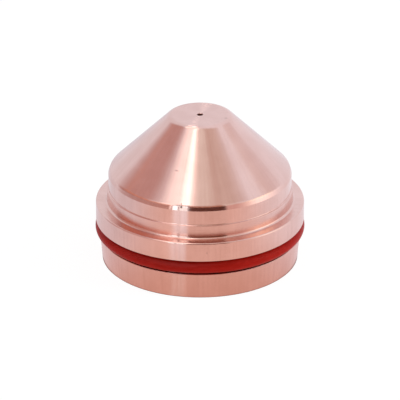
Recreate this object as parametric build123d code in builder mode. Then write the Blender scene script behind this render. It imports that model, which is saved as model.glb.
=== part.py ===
from build123d import *
import os
from math import hypot

# Plasma torch nozzle: a turned copper body with a red seal ring in its groove.
# Millimetres. +Z points out of the orifice. The origin is the centre of the foot face.

# Outside: the flange and the front face, and how far each turned step stands in from the last
flange_diameter = 28.0
tip_diameter = 8.3
ledge_width = 1.52
step_width = 0.19
band_width = 0.21
skirt_inset = 0.535
skirt_taper = 0.285

# Heights of the outside steps, from the foot up to the front face
skirt_height = 3.52
flange_height = 2.66
rear_collar_height = 1.82
front_collar_height = 2.05
band_height = 0.6
cone_height = 7.89

# Seal ring, and the gaps between it and its groove
ring_section = 1.78
ring_stands_proud = 0.09
ring_floor_clearance = 0.05
ring_front_clearance = 0.17
ring_rear_clearance = 0.2

# Passage through the middle, from the foot to the orifice
groove_wall = 1.76
rear_bore_depth = 7.0
chamber_step = 1.7
cone_wall = 3.2
front_wall = 3.0
inlet_diameter = 1.6
orifice_diameter = 0.8

# Turned corners: roundings in the corners, and breaks on the edges
tip_round = 1.0
cone_base_round = 0.8
step_fillet = 0.12
step_edge_round = 0.05
ledge_fillet = 0.3
flange_edge_round = 0.18
groove_lip_break = 0.06
groove_fillet = 0.2
foot_break = 0.08
bore_mouth_chamfer = 0.4
bore_floor_fillet = 0.3
chamber_mouth_break = 0.2
chamber_end_fillet = 0.6
orifice_edge_break = 0.05

# Radii of the outside, from the flange in to the front face and down to the foot
flange_radius = flange_diameter / 2
rear_collar_radius = flange_radius - ledge_width
front_collar_radius = rear_collar_radius - step_width
cone_base_radius = front_collar_radius - band_width
tip_radius = tip_diameter / 2
skirt_top_radius = flange_radius - skirt_inset
foot_radius = skirt_top_radius - skirt_taper

# Heights that follow from the steps
groove_width = ring_section + ring_front_clearance + ring_rear_clearance
groove_front_z = skirt_height + groove_width
ledge_z = groove_front_z + flange_height
step_z = ledge_z + rear_collar_height
band_base_z = step_z + front_collar_height
cone_base_z = band_base_z + band_height
tip_z = cone_base_z + cone_height

# The seal ring stands just proud of the flange, and the groove's floor lies just inside it
ring_radius = ring_section / 2
ring_path_radius = flange_radius + ring_stands_proud - ring_radius
ring_z = groove_front_z - ring_front_clearance - ring_radius
groove_floor_radius = ring_path_radius - ring_radius - ring_floor_clearance

# The rear bore leaves a wall under the groove, and the chamber is one step narrower
rear_bore_radius = groove_floor_radius - groove_wall
chamber_radius = rear_bore_radius - chamber_step

# The chamber's cone runs parallel to the outside cone, one wall inside it
cone_slope = (cone_base_radius - tip_radius) / cone_height
wall_across_cone = cone_wall * hypot(1, cone_slope)
chamber_end_z = tip_z - front_wall
chamber_end_radius = tip_radius + cone_slope * front_wall - wall_across_cone
chamber_cone_z = tip_z - (chamber_radius + wall_across_cone - tip_radius) / cone_slope

# The orifice starts in a 45 degree countersink in the chamber's end
orifice_radius = orifice_diameter / 2
inlet_radius = inlet_diameter / 2
inlet_depth = inlet_radius - orifice_radius

# Corners of the half section, as radius and height, once round from the orifice's mouth
orifice_mouth = (orifice_radius, tip_z)
tip_edge = (tip_radius, tip_z)
cone_base = (cone_base_radius, cone_base_z)
band_base = (front_collar_radius, band_base_z)
step_corner = (front_collar_radius, step_z)
step_edge = (rear_collar_radius, step_z)
ledge_corner = (rear_collar_radius, ledge_z)
flange_edge = (flange_radius, ledge_z)
groove_front_lip = (flange_radius, groove_front_z)
groove_front_corner = (groove_floor_radius, groove_front_z)
groove_rear_corner = (groove_floor_radius, skirt_height)
groove_rear_lip = (skirt_top_radius, skirt_height)
foot_edge = (foot_radius, 0)
bore_mouth = (rear_bore_radius, 0)
bore_floor = (rear_bore_radius, rear_bore_depth)
chamber_mouth = (chamber_radius, rear_bore_depth)
chamber_shoulder = (chamber_radius, chamber_cone_z)
chamber_end = (chamber_end_radius, chamber_end_z)
inlet_edge = (inlet_radius, chamber_end_z)
inlet_throat = (orifice_radius, chamber_end_z + inlet_depth)

# Copper body: one half section, turned about the torch axis
with BuildPart() as nozzle_body:
    with BuildSketch(Plane.XZ) as section:
        with BuildLine():
            Polyline(
                orifice_mouth,
                tip_edge,
                cone_base,
                band_base,
                step_corner,
                step_edge,
                ledge_corner,
                flange_edge,
                groove_front_lip,
                groove_front_corner,
                groove_rear_corner,
                groove_rear_lip,
                foot_edge,
                bore_mouth,
                bore_floor,
                chamber_mouth,
                chamber_shoulder,
                chamber_end,
                inlet_edge,
                inlet_throat,
                close=True,
            )
        make_face()

        def corners(*named):
            """the section's vertices at the named corners"""
            return [section.vertices().sort_by_distance((*spot, 0))[0] for spot in named]

        # Outside: front edge, cone's base, step between the collars, ledge and flange
        fillet(corners(tip_edge), radius=tip_round)
        fillet(corners(cone_base), radius=cone_base_round)
        fillet(corners(step_corner), radius=step_fillet)
        fillet(corners(step_edge), radius=step_edge_round)
        fillet(corners(ledge_corner), radius=ledge_fillet)
        fillet(corners(flange_edge), radius=flange_edge_round)

        # Groove and foot
        chamfer(corners(groove_front_lip, groove_rear_lip), length=groove_lip_break)
        fillet(corners(groove_front_corner, groove_rear_corner), radius=groove_fillet)
        chamfer(corners(foot_edge), length=foot_break)

        # Passage
        chamfer(corners(bore_mouth), length=bore_mouth_chamfer)
        fillet(corners(bore_floor), radius=bore_floor_fillet)
        chamfer(corners(chamber_mouth), length=chamber_mouth_break)
        fillet(corners(chamber_end), radius=chamber_end_fillet)
        chamfer(corners(orifice_mouth), length=orifice_edge_break)
    revolve(axis=Axis.Z)

# Seal ring: a plain round section, lying free between the sides of its groove
with BuildPart() as o_ring:
    with BuildSketch(Plane.XZ):
        with Locations((ring_path_radius, ring_z)):
            Circle(ring_radius)
    revolve(axis=Axis.Z)

os.makedirs("parts", exist_ok=True)
nozzle_body.part.label = "nozzle_body"
export_step(nozzle_body.part, "parts/nozzle_body.step")
o_ring.part.label = "o_ring"
export_step(o_ring.part, "parts/o_ring.step")
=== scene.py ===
from math import atan2, ceil, cos, hypot, pi, radians, sin, tan

import bpy
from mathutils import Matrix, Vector

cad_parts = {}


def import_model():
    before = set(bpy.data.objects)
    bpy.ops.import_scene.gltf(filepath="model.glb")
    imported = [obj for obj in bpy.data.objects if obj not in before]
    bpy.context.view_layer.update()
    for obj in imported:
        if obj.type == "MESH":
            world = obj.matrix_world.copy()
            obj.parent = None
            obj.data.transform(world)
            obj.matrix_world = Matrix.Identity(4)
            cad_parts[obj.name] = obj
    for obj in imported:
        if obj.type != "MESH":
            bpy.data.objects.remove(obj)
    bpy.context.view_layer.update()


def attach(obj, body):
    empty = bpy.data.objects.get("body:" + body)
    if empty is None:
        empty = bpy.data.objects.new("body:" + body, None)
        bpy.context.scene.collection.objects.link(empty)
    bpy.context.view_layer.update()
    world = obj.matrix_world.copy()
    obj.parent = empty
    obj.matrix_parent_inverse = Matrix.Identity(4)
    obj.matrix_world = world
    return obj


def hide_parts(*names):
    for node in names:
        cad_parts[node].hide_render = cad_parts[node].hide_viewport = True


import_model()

MM = 0.001

# The camera, fitted to the photograph's 400 x 400 frame
CAMERA_ELEVATION = radians(25.24)
CAMERA_DISTANCE = 515.3 * MM
CAMERA_PIVOT = Vector((0, 0, 8.0 * MM))
CAMERA_AIM = Vector((0, 0, 8.09 * MM))
FRAME_PIXELS = 400
PIXELS_PER_MM = 7.433
SENSOR = 36.0

# Copper body: corners of its half section once round from the orifice's mouth, in millimetres.
# radius, height, kind of corner, size of the rounding or of the break
BODY_SECTION = [
    (0.40, 20.69, "break", 0.05),
    (4.15, 20.69, "round", 1.00),
    (12.08, 12.80, "round", 0.80),
    (12.29, 12.20, "sharp", 0),
    (12.29, 10.15, "round", 0.12),
    (12.48, 10.15, "round", 0.05),
    (12.48, 8.33, "round", 0.30),
    (14.00, 8.33, "round", 0.18),
    (14.00, 5.67, "break", 0.06),
    (12.26, 5.67, "round", 0.20),
    (12.26, 3.52, "round", 0.20),
    (13.465, 3.52, "break", 0.06),
    (13.18, 0.0, "break", 0.08),
    (10.50, 0.0, "break", 0.40),
    (10.50, 7.00, "round", 0.30),
    (8.80, 7.00, "break", 0.20),
    (8.80, 11.549, "sharp", 0),
    (2.628, 17.69, "round", 0.60),
    (0.80, 17.69, "sharp", 0),
    (0.40, 18.09, "sharp", 0),
]

# Seal ring: path radius, height and section radius
RING_PATH = (13.20, 4.61)
RING_SECTION = 0.89

# Lathe steps: round the axis, and the largest turn of the section between two points
TURN_STEPS = 288
LARGEST_TURN = radians(6)

# Quads across and up each studio card
CARD_STEPS = 12

# World and floor: light on the object, and how bright the floor is where it is seen, lit and shaded
WORLD_FILL = 0.5
FLOOR_BOUNCE = 1.05
FLOOR_GLOW = 0.915
FLOOR_SHADE = 0.16
FLOOR_SIZE = 6.0

# The floor lies a little under the foot, and under that the card with painted light and shade that the
# copper mirrors in its place
FLOOR_DROP = 0.02 * MM
FLOOR_CARD_DROP = 0.05 * MM
FLOOR_CARD_REACH = 400 * MM

# The mirrored floor's colours, each at the left side and back, at the right, and in front. All are painted
# light and shade: far out the right is painted lighter than the left and back and the front warm, and close
# by is painted shade with warm bounce from the copper
FLOOR_FAR_PAINTED_LIGHT = (0.82, 0.84, 0.92), (0.97, 1.0, 1.08), (0.93, 0.73, 0.66)
FLOOR_NEAR_PAINTED_SHADE_AND_BOUNCE = (0.82, 0.72, 0.75), (0.88, 0.76, 0.79), (0.77, 0.51, 0.43)
# painted shadow on the mirrored floor under the foot
FLOOR_UNDER_PAINTED_SHADOW = (0.20, 0.07, 0.05)
# painted dark patch on the mirrored floor ahead of the camera
FLOOR_PAINTED_DARK_PATCH = (0.07, 0.012, 0.006)

# The key's painted reflection in the mirrored floor: colours near and far, and how strong its seam is
FLOOR_PAINTED_KEY_REFLECTION = (0.82, 0.62, 0.55), (1.08, 1.16, 1.26)
KEY_SEAM = 0.7
KEY_BEND = 45.0

# Soft lamps that reflections don't see: name, place, size and power
LAMPS = [
    ("key_lamp", (-0.25, -0.25, 0.5), 0.5, 0.2),
    ("right_lamp", (0.5, -0.1, 0.1), 0.3, 1.8),
    ("left_lamp", (-0.5, -0.15, 0.05), 0.3, 0.7),
]

# Studio: curved cards round the object that only reflections see, tinted to what they show in
# the photograph. Azimuth is 0 at the camera and negative to the left. The nearer card hides the further.
# name, radius, azimuth from and to, elevation from and to, soft side in degrees, colour
CARDS = [
    ("key_low_left", 0.385, -33.5, -26.3, -2, 33, 0.6, (1.9, 2.5, 2.7)),
    ("key_low_right", 0.385, -25.5, -14.5, -2, 19, 0.6, (1.2, 1.35, 1.4)),
    ("key_mid_right", 0.385, -25.5, -14.5, 19, 33, 0.6, (2.1, 2.8, 3.0)),
    ("key_gap", 0.39, -36, -13, -2, 53, 2, (0.26, 0.08, 0.07)),
    ("key_core", 0.40, -38, -17, -2, 90, 4, (2.6, 2.7, 2.7)),
    ("camera_flag", 0.41, -16, 34, -2, 24, 5, (0.06, 0.005, 0.001)),
    ("front_flag", 0.412, -16, 34, 23, 50, 5, (0.56, 0.28, 0.20)),
    ("top_lamp", 0.415, -172, -85, 66, 86, 12, (2.0, 1.9, 1.8)),
    ("key_wing", 0.42, -72, -1, 30, 90, 24, (1.6, 1.6, 1.6)),
    ("left_flag", 0.43, -132, -64, 14, 62, 18, (0.61, 0.42, 0.41)),
    ("left_low_flag", 0.425, -122, -24, -2, 18, 12, (0.51, 0.32, 0.30)),
    ("left_mid_flag", 0.425, -116, -24, 18, 30, 12, (0.80, 0.37, 0.23)),
    ("left_high_flag", 0.424, -68, -26, 31, 51, 8, (0.40, 0.17, 0.16)),
    ("right_flag", 0.43, 14, 92, 48, 90, 24, (0.72, 0.63, 0.58)),
    ("right_panel", 0.425, 40, 124, -2, 16, 40, (1.6, 1.6, 1.6)),
    ("right_mid_panel", 0.425, 46, 112, 16, 29, 30, (1.8, 1.85, 1.5)),
    ("right_low_flag", 0.43, 22, 74, -2, 30, 10, (0.78, 0.54, 0.50)),
    ("plum_flag", 0.435, 92, 130, 20, 46, 12, (0.85, 0.83, 0.88)),
    ("front_dome", 0.44, -50, 62, 30, 90, 20, (0.94, 0.97, 0.93)),
    ("back_lamp", 0.42, -177.2, -172.8, 42, 58, 2, (5.5, 5.5, 5.5)),
    ("left_dome", 0.45, -180, 0, -4, 90, 0.01, (0.89, 0.96, 1.05)),
    ("right_dome", 0.45, 0, 180, -4, 90, 0.01, (0.97, 1.05, 1.16)),
]

# Small marks on the copper: place on the surface in millimetres, reach along x, y and z, and depth of tone
MARKS = [
    ((-2.45, -11.98, 12.66), (0.17, 0.40, 0.17), 0.95),
    ((-2.46, -11.65, 12.98), (0.07, 0.30, 0.12), 0.7),
    ((-3.05, -8.10, 16.18), (0.30, 0.40, 0.07), 0.4),
    ((3.45, -1.25, 20.66), (0.26, 0.30, 0.30), 0.2),
    ((0.92, -13.97, 6.95), (0.10, 0.30, 0.20), 0.2),
]

# Turned copper: its two tones, its fine rings, the streaks along the profile and the stains
COPPER_TONES = (0.745, 0.465, 0.405), (0.795, 0.512, 0.452)
COPPER_ROUGHNESS = (0.145, 0.175)
MARK_TONE = (0.10, 0.04, 0.03)
RINGS_PER_MM = 7.0
RING_DEPTH = 0.0004 * MM
RING_STRENGTH = 0.15
STREAKS_ROUND = 45.0
STREAK_DRIFT = 0.12
STREAK_SHARE = 0.3
STAIN_SIZE = 3 * MM
STAIN_SHARE = 0.4

# Seal rubber: its two tones, its gloss and its mottle
RUBBER_TONES = (0.275, 0.0055, 0.002), (0.315, 0.0075, 0.0035)
RUBBER_ROUGHNESS = (0.30, 0.42)
RUBBER_SPECULAR = 0.06
MOTTLE_SIZE = MM
MOTTLE_HEIGHT = 0.4 * MM


def material(name):
    """a new node material, with its tree and its output node"""
    made = bpy.data.materials.new(name)
    made.use_nodes = True
    tree = made.node_tree
    tree.nodes.clear()
    output = tree.nodes.new("ShaderNodeOutputMaterial")
    return made, tree, output


def feed(tree, socket, value):
    """links a socket to another's output, or sets its value"""
    if isinstance(value, bpy.types.NodeSocket):
        tree.links.new(value, socket)
    else:
        socket.default_value = value


def node(tree, kind, *values, **named):
    """a new node: values go to its sockets in order, names to its sockets or properties"""
    made = tree.nodes.new("ShaderNode" + kind)
    for name, value in named.items():
        if name.replace("_", " ") in made.inputs:
            feed(tree, made.inputs[name.replace("_", " ")], value)
        else:
            setattr(made, name, value)
    for socket, value in zip(made.inputs, values):
        feed(tree, socket, value)
    return made


def maths(tree, operation, *values):
    """the result of a sum on sockets or numbers"""
    return node(tree, "Math", *values, operation=operation).outputs[0]


def ramp(tree, value, start, end, low=0.0, high=1.0):
    """a smooth change from low to high while the value goes from start to end"""
    made = node(tree, "MapRange", interpolation_type="SMOOTHSTEP")
    names = ("Value", "From Min", "From Max", "To Min", "To Max")
    for name, number in zip(names, (value, start, end, low, high)):
        feed(tree, made.inputs[name], number)
    return made.outputs[0]


def between(tree, value, start, end, soft):
    """1 between start and end, with soft sides inside them, and 0 elsewhere"""
    rise = maths(tree, "DIVIDE", maths(tree, "SUBTRACT", value, start), soft)
    fall = maths(tree, "DIVIDE", maths(tree, "SUBTRACT", end, value), soft)
    return maths(tree, "MULTIPLY", ramp(tree, rise, 0.0, 1.0), ramp(tree, fall, 0.0, 1.0))


def blend(tree, share, first, second):
    """a mix of two colours, each a socket or three numbers"""
    made = node(tree, "Mix", data_type="RGBA")
    feed(tree, made.inputs[0], share)
    for socket, colour in ((6, first), (7, second)):
        feed(tree, made.inputs[socket], (*colour, 1) if isinstance(colour, tuple) else colour)
    return made.outputs[2]


def object_place(tree):
    """the three object coordinates of a surface point"""
    place = node(tree, "SeparateXYZ", node(tree, "TexCoord").outputs["Object"])
    return place.outputs["X"], place.outputs["Y"], place.outputs["Z"]


def from_axis(tree, x, y):
    """how far a surface point is from the torch axis"""
    squares = [maths(tree, "MULTIPLY", v, v) for v in (x, y)]
    return maths(tree, "SQRT", maths(tree, "ADD", *squares))


def camera():
    """the camera at the photograph's angle, with a long lens"""
    data = bpy.data.cameras.new("camera")
    data.sensor_width = SENSOR
    data.lens = PIXELS_PER_MM * CAMERA_DISTANCE / MM / FRAME_PIXELS * SENSOR
    made = bpy.data.objects.new("camera", data)
    bpy.context.scene.collection.objects.link(made)
    back = Vector((0, -cos(CAMERA_ELEVATION), sin(CAMERA_ELEVATION)))
    made.location = CAMERA_PIVOT + back * CAMERA_DISTANCE
    made.rotation_euler = (CAMERA_AIM - made.location).to_track_quat("-Z", "Y").to_euler()
    bpy.context.scene.camera = made


def seen_directly(tree):
    """1 for camera, glossy and transmission rays, 0 for the rest"""
    path = node(tree, "LightPath").outputs
    either = maths(tree, "MAXIMUM", path["Is Camera Ray"], path["Is Glossy Ray"])
    return maths(tree, "MAXIMUM", either, path["Is Transmission Ray"])


def world():
    """white where it is seen, a soft even light on everything else"""
    made = bpy.data.worlds.new("studio")
    bpy.context.scene.world = made
    made.use_nodes = True
    tree = made.node_tree
    tree.nodes.clear()
    output = tree.nodes.new("ShaderNodeOutputWorld")
    fill = node(tree, "Background", Color=(1, 1, 1, 1), Strength=WORLD_FILL).outputs[0]
    white = node(tree, "Background", Color=(1, 1, 1, 1), Strength=1.0).outputs[0]
    mix = node(tree, "MixShader", seen_directly(tree), fill, white)
    tree.links.new(mix.outputs[0], output.inputs["Surface"])


def floor():
    """a plain pale floor, white where it is seen, that keeps a soft shadow and is clear from below"""
    bpy.ops.mesh.primitive_plane_add(size=FLOOR_SIZE, location=(0, 0, -FLOOR_DROP))
    made = bpy.context.object
    made.name = "floor"
    paint, tree, output = material("floor_white")
    bounce = node(tree, "Emission", Color=(1, 1, 1, 1), Strength=FLOOR_BOUNCE).outputs[0]
    glow = node(tree, "Emission", Color=(1, 1, 1, 1), Strength=FLOOR_GLOW).outputs[0]
    shade = node(tree, "BsdfDiffuse", Color=(FLOOR_SHADE, FLOOR_SHADE, FLOOR_SHADE, 1)).outputs[0]
    seen = node(tree, "AddShader", glow, shade).outputs[0]
    above = node(tree, "MixShader", seen_directly(tree), bounce, seen).outputs[0]
    below = node(tree, "BsdfTransparent").outputs[0]
    mix = node(tree, "MixShader", node(tree, "NewGeometry").outputs["Backfacing"], above, below)
    tree.links.new(mix.outputs[0], output.inputs["Surface"])
    made.data.materials.append(paint)
    made.visible_glossy = False


def stage_mesh(name, points, faces, paint):
    """a card that only reflections see"""
    mesh = bpy.data.meshes.new(name)
    mesh.from_pydata(points, [], faces)
    mesh.materials.append(paint)
    made = bpy.data.objects.new(name, mesh)
    bpy.context.scene.collection.objects.link(made)
    made.visible_camera = False
    made.visible_shadow = False
    made.visible_diffuse = False


def grid_faces(across, up):
    """the quads of a grid whose points run across first"""
    return [
        (k, k + 1, k + across + 2, k + across + 1)
        for j in range(up)
        for k in range(j * (across + 1), j * (across + 1) + across)
    ]


def card(name, radius, left, right, low, high, soft, colour):
    """a curved card with soft sides, glowing in one colour"""
    points = []
    for j in range(CARD_STEPS + 1):
        e = radians(low + (high - low) * j / CARD_STEPS)
        for i in range(CARD_STEPS + 1):
            a = radians(left + (right - left) * i / CARD_STEPS)
            way = Vector((sin(a) * cos(e), -cos(a) * cos(e), sin(e)))
            points.append(way * radius + CAMERA_PIVOT)
    paint, tree, output = material(name)
    x, y, _ = object_place(tree)
    azimuth = maths(tree, "ARCTAN2", x, maths(tree, "MULTIPLY", y, -1.0))
    cover = between(tree, azimuth, radians(left), radians(right), radians(soft))
    clear = node(tree, "BsdfTransparent").outputs[0]
    glow = node(tree, "Emission", Color=(*colour, 1), Strength=1.0).outputs[0]
    mix = node(tree, "MixShader", cover, clear, glow)
    tree.links.new(mix.outputs[0], output.inputs["Surface"])
    stage_mesh(name, points, grid_faces(CARD_STEPS, CARD_STEPS), paint)


def floor_tone(tree, front, right, tones):
    """the mirrored floor's painted light and shade round the object"""
    left_tone, right_tone, front_tone = tones
    return blend(tree, front, blend(tree, right, left_tone, right_tone), front_tone)


def key_stripe(tree, azimuth, radius):
    """where the mirrored floor shows a painted reflection of the key: a stripe that bends left as it goes
    out, with a seam in it
    """
    reach = maths(tree, "DIVIDE", maths(tree, "MINIMUM", radius, KEY_BEND * MM), MM)
    left_edge = maths(tree, "MULTIPLY_ADD", reach, -0.40, -14.5)
    right_edge = maths(tree, "MULTIPLY_ADD", reach, -0.12, -6.5)
    middle = maths(tree, "MULTIPLY_ADD", reach, -0.30, -11.0)
    seam_left = maths(tree, "SUBTRACT", middle, 0.8)
    seam_right = maths(tree, "ADD", middle, 0.8)
    seam = maths(tree, "MULTIPLY", between(tree, azimuth, seam_left, seam_right, 0.4), KEY_SEAM)
    return maths(tree, "SUBTRACT", between(tree, azimuth, left_edge, right_edge, 4.0), seam)


def painted_floor_card():
    """a glowing card that the copper mirrors in the floor's place, with painted light and shade: painted
    warm shade and bounce close by, a painted reflection of the key, painted shadow under the foot and a
    painted dark patch in front
    """
    size, height = FLOOR_CARD_REACH, -FLOOR_CARD_DROP
    points = [(-size, -size, height), (size, -size, height), (-size, size, height), (size, size, height)]
    paint, tree, output = material("painted_floor_card")
    x, y, _ = object_place(tree)
    radius = from_axis(tree, x, y)
    ahead = maths(tree, "MULTIPLY", y, -1.0)
    azimuth = maths(tree, "DEGREES", maths(tree, "ARCTAN2", x, ahead))
    front = ramp(tree, maths(tree, "DIVIDE", ahead, radius), 0.0, 1.0)
    right = ramp(tree, maths(tree, "DIVIDE", x, radius), -0.5, 0.8)
    # painted shade and warm bounce close by, painted light by side further out
    near = floor_tone(tree, front, right, FLOOR_NEAR_PAINTED_SHADE_AND_BOUNCE)
    far = floor_tone(tree, front, right, FLOOR_FAR_PAINTED_LIGHT)
    plain = blend(tree, ramp(tree, radius, 13 * MM, 30 * MM), near, far)
    # painted reflection of the key in the mirrored floor
    key = blend(tree, ramp(tree, radius, 17 * MM, 39 * MM), *FLOOR_PAINTED_KEY_REFLECTION)
    keyed = blend(tree, key_stripe(tree, azimuth, radius), plain, key)
    # painted shadow under the foot, fading out just past its rim
    outside_painted_shadow = ramp(tree, radius, 13.2 * MM, 13.5 * MM)
    open_floor = blend(tree, outside_painted_shadow, FLOOR_UNDER_PAINTED_SHADOW, keyed)
    # a painted dark patch on the mirrored floor ahead of the camera
    ahead_of_camera = between(tree, azimuth, -15.0, 34.0, 6.0)
    dark = maths(tree, "MULTIPLY", ahead_of_camera, ramp(tree, radius, 48 * MM, 68 * MM))
    glow = node(tree, "Emission", Color=blend(tree, dark, open_floor, FLOOR_PAINTED_DARK_PATCH), Strength=1.0)
    tree.links.new(glow.outputs[0], output.inputs["Surface"])
    stage_mesh("painted_floor_card", points, grid_faces(1, 1), paint)


def soft_lamp(name, place, size, energy):
    """a soft area lamp aimed at the object, which reflections don't see"""
    data = bpy.data.lights.new(name, "AREA")
    data.shape = "DISK"
    data.size = size
    data.energy = energy
    made = bpy.data.objects.new(name, data)
    bpy.context.scene.collection.objects.link(made)
    made.location = Vector(place)
    made.rotation_euler = (CAMERA_PIVOT - made.location).to_track_quat("-Z", "Y").to_euler()
    made.visible_glossy = False


def way(start, end):
    """the unit direction from one section point to the next"""
    length = hypot(end[0] - start[0], end[1] - start[1])
    return (end[0] - start[0]) / length, (end[1] - start[1]) / length


def corner_points(before, corner, after):
    """a corner's points with their outward normals on the way in and on the way out"""
    r, z, kind, size = corner
    d1, d2 = way(before, corner), way(corner, after)
    n1, n2 = (-d1[1], d1[0]), (-d2[1], d2[0])
    if kind == "sharp":
        return [((r, z), n1, n2)]
    turn = atan2(d1[0] * d2[1] - d1[1] * d2[0], d1[0] * d2[0] + d1[1] * d2[1])
    if kind == "break":
        start = (r - d1[0] * size, z - d1[1] * size)
        end = (r + d2[0] * size, z + d2[1] * size)
        d = way(start, end)
        n = (-d[1], d[0])
        return [(start, n1, n), (end, n, n2)]
    reach = size * tan(abs(turn) / 2)
    side = size if turn < 0 else -size
    centre = (r - d1[0] * reach - n1[0] * side, z - d1[1] * reach - n1[1] * side)
    steps = ceil(abs(turn) / LARGEST_TURN)
    points = []
    for i in range(steps + 1):
        t = turn * i / steps
        n = (n1[0] * cos(t) - n1[1] * sin(t), n1[0] * sin(t) + n1[1] * cos(t))
        points.append(((centre[0] + n[0] * side, centre[1] + n[1] * side), n, n))
    return points


def section_points(corners):
    """all points of a closed section, with their normals"""
    count = len(corners)
    return [
        point
        for i in range(count)
        for point in corner_points(corners[i - 1], corners[i], corners[(i + 1) % count])
    ]


def lathe(name, section, paint):
    """turns a closed section about the axis, with exact normals"""
    count = len(section)
    points, faces, normals = [], [], []
    turns = [2 * pi * i / TURN_STEPS for i in range(TURN_STEPS)]
    for a in turns:
        points += [(r * sin(a) * MM, -r * cos(a) * MM, z * MM) for (r, z), _, _ in section]
    for i in range(TURN_STEPS):
        k = (i + 1) % TURN_STEPS
        for j in range(count):
            m = (j + 1) % count
            faces.append((i * count + j, i * count + m, k * count + m, k * count + j))
            start, end = section[j][2], section[m][1]
            for a, n in ((turns[i], start), (turns[i], end), (turns[k], end), (turns[k], start)):
                normals.append((n[0] * sin(a), -n[0] * cos(a), n[1]))
    mesh = bpy.data.meshes.new(name)
    mesh.from_pydata(points, [], faces)
    mesh.shade_smooth()
    mesh.normals_split_custom_set(normals)
    mesh.materials.append(paint)
    made = bpy.data.objects.new(name, mesh)
    bpy.context.scene.collection.objects.link(made)
    return made


def noise(tree, x, y, z, detail):
    """a value from 0 to 1 that changes smoothly with the three numbers"""
    place = node(tree, "CombineXYZ", x, y, z)
    return node(tree, "TexNoise", Vector=place.outputs[0], Scale=1.0, Detail=detail).outputs[0]


def marked(tree, place, colour):
    """the colour with the small dark marks on it"""
    for spot, reach, depth in MARKS:
        middle, stretch = [v * MM for v in spot], [1 / (v * MM) for v in reach]
        shifted = node(tree, "VectorMath", place, middle, operation="SUBTRACT").outputs[0]
        scaled = node(tree, "VectorMath", shifted, stretch, operation="MULTIPLY").outputs[0]
        away = node(tree, "VectorMath", scaled, operation="LENGTH").outputs["Value"]
        colour = blend(tree, ramp(tree, away, 0.4, 1.2, depth, 0.0), colour, MARK_TONE)
    return colour


def copper():
    """turned copper: fine rings round the axis draw reflections out along the profile"""
    paint, tree, output = material("turned_copper")
    x, y, z = object_place(tree)
    place = node(tree, "TexCoord").outputs["Object"]
    radius = from_axis(tree, x, y)
    r, h = maths(tree, "DIVIDE", radius, MM), maths(tree, "DIVIDE", z, MM)
    across, along = (maths(tree, "MULTIPLY", v, RINGS_PER_MM) for v in (r, h))
    rings = noise(tree, across, 0.0, along, 3.0)
    ways = [maths(tree, "MULTIPLY", maths(tree, "DIVIDE", v, radius), STREAKS_ROUND) for v in (x, y)]
    drift = maths(tree, "MULTIPLY", maths(tree, "SUBTRACT", h, r), STREAK_DRIFT)
    streaks = noise(tree, *ways, drift, 4.0)
    stain = noise(tree, *(maths(tree, "DIVIDE", v, STAIN_SIZE) for v in (x, y, z)), 2.0)
    streak_tone = ramp(tree, streaks, 0.3, 0.7, -STREAK_SHARE, STREAK_SHARE)
    stain_tone = ramp(tree, stain, 0.3, 0.7, -STAIN_SHARE, STAIN_SHARE)
    tone = maths(tree, "ADD", maths(tree, "ADD", streak_tone, stain_tone), 0.5)
    plain = blend(tree, tone, *COPPER_TONES)
    groove = node(tree, "Bump", Strength=RING_STRENGTH, Distance=RING_DEPTH, Height=rings)
    shader = node(tree, "BsdfPrincipled", Metallic=1.0, Anisotropic=1.0)
    shader.inputs["Anisotropic Rotation"].default_value = 0.25
    tree.links.new(marked(tree, place, plain), shader.inputs["Base Color"])
    tree.links.new(ramp(tree, rings, 0.3, 0.7, *COPPER_ROUGHNESS), shader.inputs["Roughness"])
    tree.links.new(groove.outputs[0], shader.inputs["Normal"])
    tangent = node(tree, "Tangent", direction_type="RADIAL", axis="Z")
    tree.links.new(tangent.outputs[0], shader.inputs["Tangent"])
    tree.links.new(shader.outputs[0], output.inputs["Surface"])
    return paint


def seal_rubber():
    """smooth red silicone rubber, a little mottled"""
    paint, tree, output = material("red_silicone")
    sizes = (MOTTLE_SIZE, MOTTLE_SIZE, MOTTLE_HEIGHT)
    place = (maths(tree, "DIVIDE", v, size) for v, size in zip(object_place(tree), sizes))
    mottle = noise(tree, *place, 3.0)
    shader = node(tree, "BsdfPrincipled")
    shader.inputs["Specular IOR Level"].default_value = RUBBER_SPECULAR
    colour = blend(tree, ramp(tree, mottle, 0.3, 0.7), *RUBBER_TONES)
    tree.links.new(colour, shader.inputs["Base Color"])
    tree.links.new(ramp(tree, mottle, 0.3, 0.7, *RUBBER_ROUGHNESS), shader.inputs["Roughness"])
    tree.links.new(shader.outputs[0], output.inputs["Surface"])
    return paint


def nozzle_body():
    """the copper body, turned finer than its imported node"""
    made = lathe("copper_body", section_points(BODY_SECTION), copper())
    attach(made, "root")
    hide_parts("nozzle_body")


def o_ring():
    """the seal ring"""
    steps = ceil(2 * pi / LARGEST_TURN)
    section = []
    for i in range(steps):
        t = -2 * pi * i / steps
        n = (cos(t), sin(t))
        spot = (RING_PATH[0] + n[0] * RING_SECTION, RING_PATH[1] + n[1] * RING_SECTION)
        section.append((spot, n, n))
    made = lathe("seal_ring", section, seal_rubber())
    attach(made, "root")
    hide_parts("o_ring")


camera()
world()
floor()
painted_floor_card()
for row in CARDS:
    card(*row)
for row in LAMPS:
    soft_lamp(*row)
nozzle_body()
o_ring()
bpy.context.scene.view_settings.view_transform = "Standard"
